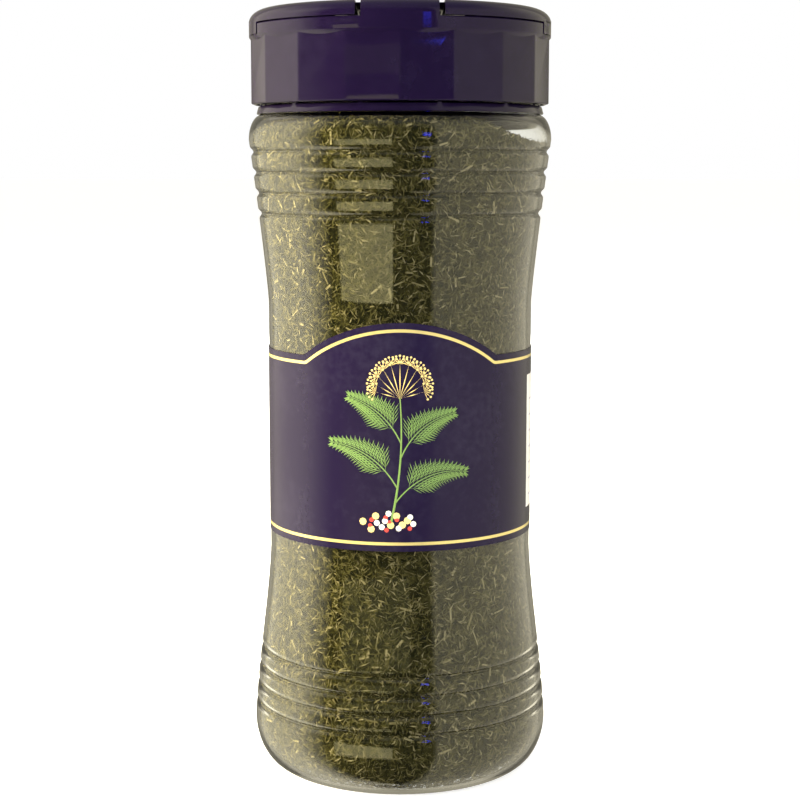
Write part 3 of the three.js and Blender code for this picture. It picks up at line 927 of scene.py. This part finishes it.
def make_hinge_web(name, side, material):
    """The living hinge: a thin flat web along the lid's straight edge."""
    bpy.ops.object.select_all(action="DESELECT")
    bpy.ops.mesh.primitive_grid_add(x_subdivisions=12, y_subdivisions=24, size=1)
    web = bpy.context.object
    web.name = web.data.name = name
    reach = (BAR_HALF - 0.3, LID_FROM + 0.3)
    for corner in web.data.vertices:
        x = side * (reach[0] + (reach[1] - reach[0]) * (corner.co.x + 0.5))
        corner.co = (x * MM, corner.co.y * 66 * MM, (LID_TOP - 0.42) * MM)
    modifier = web.modifiers.new("film", "SOLIDIFY")
    modifier.thickness = 0.3 * MM
    modifier.offset = 0
    bpy.ops.object.modifier_apply(modifier="film")
    hand_over(shade_smooth(web), material, None, "navy_plastic")
    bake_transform(web)


def make_rings(navy):
    band = turned("tamper_ring", [
        (BAND_INNER, BAND_LOW), (BAND_FOOT - 0.2, BAND_LOW), (BAND_FOOT, BAND_LOW + 0.2),
        (BAND_HEAD, BAND_TOP - 0.2), (BAND_HEAD - 0.2, BAND_TOP), (BAND_INNER, BAND_TOP)])
    for i in range(BRIDGES):
        stub = block((BAND_INNER + 0.05, BAND_INNER + 0.6), (-0.6, 0.6), (BAND_TOP - 0.5, BAND_TOP + 0.3))
        turn = 2 * math.pi * (i + 0.5) / BRIDGES
        stub.data.transform(Matrix.Rotation(turn, 4, "Z"))
        combine(band, stub, "UNION")
    hand_over(shade_smooth(band), navy, "jar", "navy_plastic", "tamper_band")
    inner, outer, low, top = SEAL
    ring = turned("seal_liner", [(inner, low), (outer, low), (outer, top), (inner, top)])
    hand_over(soften(ring, 0.2), foam(), "seal", "seal_foam", "seal_ring")


# Stage
def make_floor():
    bpy.ops.object.select_all(action="DESELECT")
    bpy.ops.mesh.primitive_plane_add(size=40, location=(0, 0, -0.0004))
    floor = bpy.context.object
    floor.name = "floor"
    material, _, shader = new_material("pale_floor")
    plain(shader, Base_Color=(0.9, 0.9, 0.9, 1), Roughness=0.8)
    plain(shader, Emission_Color=(1, 1, 1, 1), Emission_Strength=0.6)
    floor.data.materials.append(material)
    floor.visible_glossy = False
    floor.visible_transmission = False


# Studio walls by compass angle from the camera's side, in degrees, and their brightness
STUDIO_WALLS = [
    (-180, 0.3), (-148, 0.45), (-142, 1.1), (-125, 1.5), (-95, 2.4), (-86, 2.2), (-60, 0.03),
    (26, 0.03), (30, 0.75), (95, 0.9), (125, 1.0), (142, 0.9), (148, 0.4), (180, 0.3),
]
WARM = (1.0, 0.93, 0.72)
# Bright things in the dark part of the studio: compass angles, heights in degrees, colour
STUDIO_PATCHES = [
    ((-52, -6), (-25, -12.5), (1.6, 1.45, 0.78)),
    ((-50, 8), (-7, 0.8), (0.25, 0.24, 0.14)),
    ((20.9, 23), (1.04, 2.2), (0.5, 0.9, 15.0)),
    ((20.9, 23), (0.59, 0.86), (0.5, 0.9, 15.0)),
    ((17, 23), (4.4, 13), (0.2, 0.35, 7.0)),
]


def make_studio():
    world = bpy.data.worlds.new("studio")
    bpy.context.scene.world = world
    world.use_nodes = True
    tree = world.node_tree
    way = add(tree, "ShaderNodeSeparateXYZ",
              {0: add(tree, "ShaderNodeTexCoord").outputs["Generated"]}).outputs
    toward = add(tree, "ShaderNodeMath", {0: way["Y"], 1: -1.0}, operation="MULTIPLY").outputs[0]
    turn = add(tree, "ShaderNodeMath", {0: way["X"], 1: toward}, operation="ARCTAN2").outputs[0]
    turn = add(tree, "ShaderNodeMath", {0: turn}, operation="DEGREES").outputs[0]
    rise = add(tree, "ShaderNodeMath", {0: way["Z"]}, operation="ARCSINE").outputs[0]
    rise = add(tree, "ShaderNodeMath", {0: rise}, operation="DEGREES").outputs[0]
    share = add(tree, "ShaderNodeMapRange",
                {"Value": turn, "From Min": -180.0, "From Max": 180.0}).outputs[0]
    colour = ramp(tree, share, [
        ((angle + 180) / 360, [level * tint for tint in WARM]) for angle, level in STUDIO_WALLS])
    for turns, rises, light in STUDIO_PATCHES:
        mask = times(tree, step_mask(tree, turn, *turns, 0.6), step_mask(tree, rise, *rises, 0.15))
        colour = over(tree, mask, colour, (*light, 1))
    ceiling = add(tree, "ShaderNodeMapRange",
                  {"Value": rise, "From Min": 35.0, "From Max": 60.0}).outputs[0]
    colour = over(tree, ceiling, colour, (0.3, 0.3, 0.3, 1))
    path = add(tree, "ShaderNodeLightPath").outputs
    bounces = add(tree, "ShaderNodeMath", {0: path["Diffuse Depth"], 1: path["Glossy Depth"]}).outputs[0]
    first = add(tree, "ShaderNodeMath", {0: bounces, 1: 0.5}, operation="LESS_THAN").outputs[0]
    through = times(tree, path["Is Transmission Ray"], first)
    seen = add(tree, "ShaderNodeMath", {0: path["Is Camera Ray"], 1: through},
               operation="MAXIMUM").outputs[0]
    tree.links.new(over(tree, seen, colour, (1, 1, 1, 1)), tree.nodes["Background"].inputs["Color"])


def lamp(name, place, size, energy, colour=(1, 1, 1)):
    """A soft rectangular light, turned to the jar's middle, that leaves no glint of its own."""
    light = bpy.data.lights.new(name, "AREA")
    light.color = colour
    light.shape = "RECTANGLE"
    light.size, light.size_y = size
    light.energy = energy
    holder = bpy.data.objects.new(name, light)
    bpy.context.scene.collection.objects.link(holder)
    holder.location = place
    holder.rotation_euler = (Vector(JAR_MIDDLE) - Vector(place)).to_track_quat("-Z", "Y").to_euler()
    holder.visible_glossy = False
    holder.visible_camera = False
    holder.visible_transmission = False


CAMERA_LENS, CAMERA_PLACE, CAMERA_TILT = 79.9, (0, -0.556, 0.1898), 7.6


def make_camera():
    data = bpy.data.cameras.new("camera")
    data.lens, data.sensor_width = CAMERA_LENS, 36
    camera = bpy.data.objects.new("camera", data)
    bpy.context.scene.collection.objects.link(camera)
    camera.location = CAMERA_PLACE
    camera.rotation_euler = (math.radians(90 - CAMERA_TILT), 0, 0)
    bpy.context.scene.camera = camera


make_camera()
make_floor()
make_studio()
lamp("high_softbox", (-0.4, -0.4, 1.2), (1.0, 1.0), 18)
lamp("left_key", (-1.0, -0.05, 0.3), (0.4, 0.9), 60, (1.0, 0.88, 0.56))
lamp("front_fill", (0.1, -1.3, 0.5), (0.9, 0.9), 18)
lamp("back_fill", (0, 1.3, 0.5), (0.9, 0.9), 10)
bpy.context.scene.view_settings.view_transform = "Standard"

NAVY = navy_plastic()
make_jar(clear_plastic())
make_dill()
make_label(label_film())
make_sprig()
make_rings(NAVY)
make_cap(NAVY)
make_lid("pour_lid_shell", "pour_lid", 1, RIDGE_IN_OPENING, NAVY)
make_lid("sift_lid_shell", "sift_lid", -1, RIDGE_ON_DECK, NAVY)
make_hinge_web("pour_hinge_web", 1, NAVY)
make_hinge_web("sift_hinge_web", -1, NAVY)
